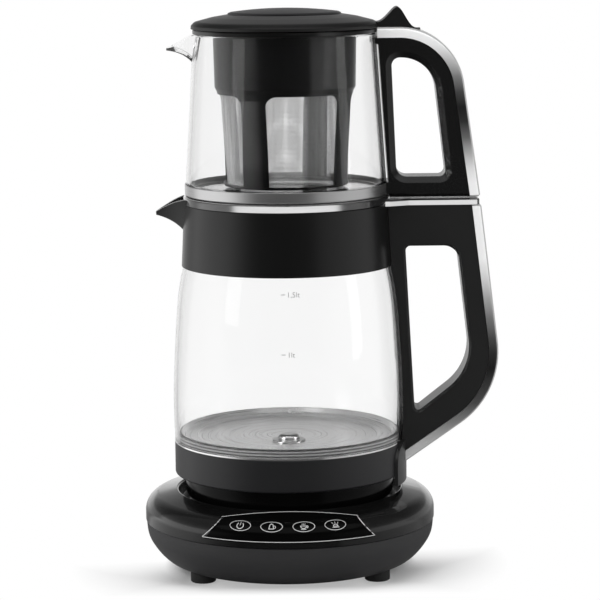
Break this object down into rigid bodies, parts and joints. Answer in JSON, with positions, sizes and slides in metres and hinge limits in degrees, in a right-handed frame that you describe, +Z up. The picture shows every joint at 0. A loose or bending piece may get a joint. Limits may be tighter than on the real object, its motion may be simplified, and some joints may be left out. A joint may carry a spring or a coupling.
{
  "type": "automatic tea maker",
  "caption": "Stacked electric tea maker: round power base with touch panel, glass kettle, and a glass teapot with mesh infuser, lid and framed handles.",
  "frame": {"origin": "centre of the stand at table level, on the axis of base, kettle and teapot", "axes": "+Z up; handles point to +X, spouts to -X; the control panel faces -Y and the mains lead's inlet +Y"},
  "size_m": [0.2275, 0.1865, 0.3592],
  "materials": {
    "grey_plastic": "fine satin texture",
    "gloss_black": "polished",
    "panel_black": "polished film with plain white symbols",
    "matt_black": "satin",
    "relay_black": "moulded",
    "relay_blue": "moulded",
    "capacitor_sleeve": "shrink sleeve",
    "terminal_green": "moulded",
    "circuit_board": "solder resist",
    "foam_rubber": "conductive foam",
    "black_rubber": "matt",
    "silicone": "translucent white",
    "screw_steel": "zinc plated",
    "contact_brass": "plain",
    "bright_steel": "bright",
    "brushed_plate": "brushed round",
    "brushed_band": "brushed round",
    "trim_steel": "fine brushed",
    "chrome_trim": "bright",
    "mesh_steel": "fine woven mesh",
    "spreader_aluminium": "plain",
    "clear_glass": "clear",
    "smoke_plastic": "smoke tinted"
  },
  "bodies": {
    "base": {"base_bottom_shell": "grey_plastic", "base_top_cover": "gloss_black", "control_panel": "panel_black", "sensor_board": "circuit_board", "touch_pads": "foam_rubber", "power_board": "circuit_board", "relays": "relay_blue", "smoothing_capacitor": "capacitor_sleeve", "terminal_block": "terminal_green", "buzzer": "relay_black", "power_connector": "matt_black", "centre_contact": "contact_brass", "inner_contact": "contact_brass", "outer_contact": "contact_brass", "rubber_feet": "black_rubber", "base_screws": "screw_steel", "lead_bush": "black_rubber"},
    "socket": {"kettle_socket": "matt_black", "socket_pin": "contact_brass", "socket_inner_ring": "contact_brass", "socket_outer_ring": "contact_brass"},
    "kettle": {"kettle_lower_cover": "gloss_black", "kettle_band": "grey_plastic", "glass_foot_ring": "bright_steel", "heating_plate": "brushed_plate", "plate_seal": "silicone", "heat_spreader": "spreader_aluminium", "heating_element": "spreader_aluminium", "element_terminals": "contact_brass", "thermal_control": "matt_black", "plate_sensor": "bright_steel", "kettle_glass": "clear_glass", "collar_seal": "silicone", "kettle_collar": "grey_plastic", "kettle_rim_ring": "chrome_trim", "kettle_handle": "matt_black", "kettle_handle_trim": "trim_steel", "handle_screws": "screw_steel"},
    "teapot": {"teapot_band": "brushed_band", "teapot_seal": "silicone", "teapot_glass": "clear_glass", "teapot_handle": "matt_black", "teapot_handle_trim": "trim_steel", "teapot_bracket": "screw_steel", "teapot_handle_screws": "screw_steel"},
    "infuser": {"infuser_frame": "smoke_plastic", "infuser_mesh": "mesh_steel"},
    "lid": {"lid_shell": "grey_plastic", "lid_gasket": "silicone", "lid_cap": "gloss_black"}
  },
  "joints": [
    {"name": "kettle_lift", "type": "slide", "parent": "base", "child": "socket", "axis": [0, 0, 1], "range_m": [0, 0.06]},
    {"name": "kettle_swivel", "type": "hinge", "parent": "socket", "child": "kettle", "pos_m": [0, 0, 0.05], "axis": [0, 0, 1], "continuous": true},
    {"name": "teapot_lift", "type": "slide", "parent": "kettle", "child": "teapot", "axis": [0, 0, 1], "range_m": [0, 0.04]},
    {"name": "infuser_lift", "type": "slide", "parent": "teapot", "child": "infuser", "axis": [0, 0, 1], "range_m": [0, 0.12]},
    {"name": "lid_lift", "type": "slide", "parent": "infuser", "child": "lid", "axis": [0, 0, 1], "range_m": [0, 0.04]}
  ]
}
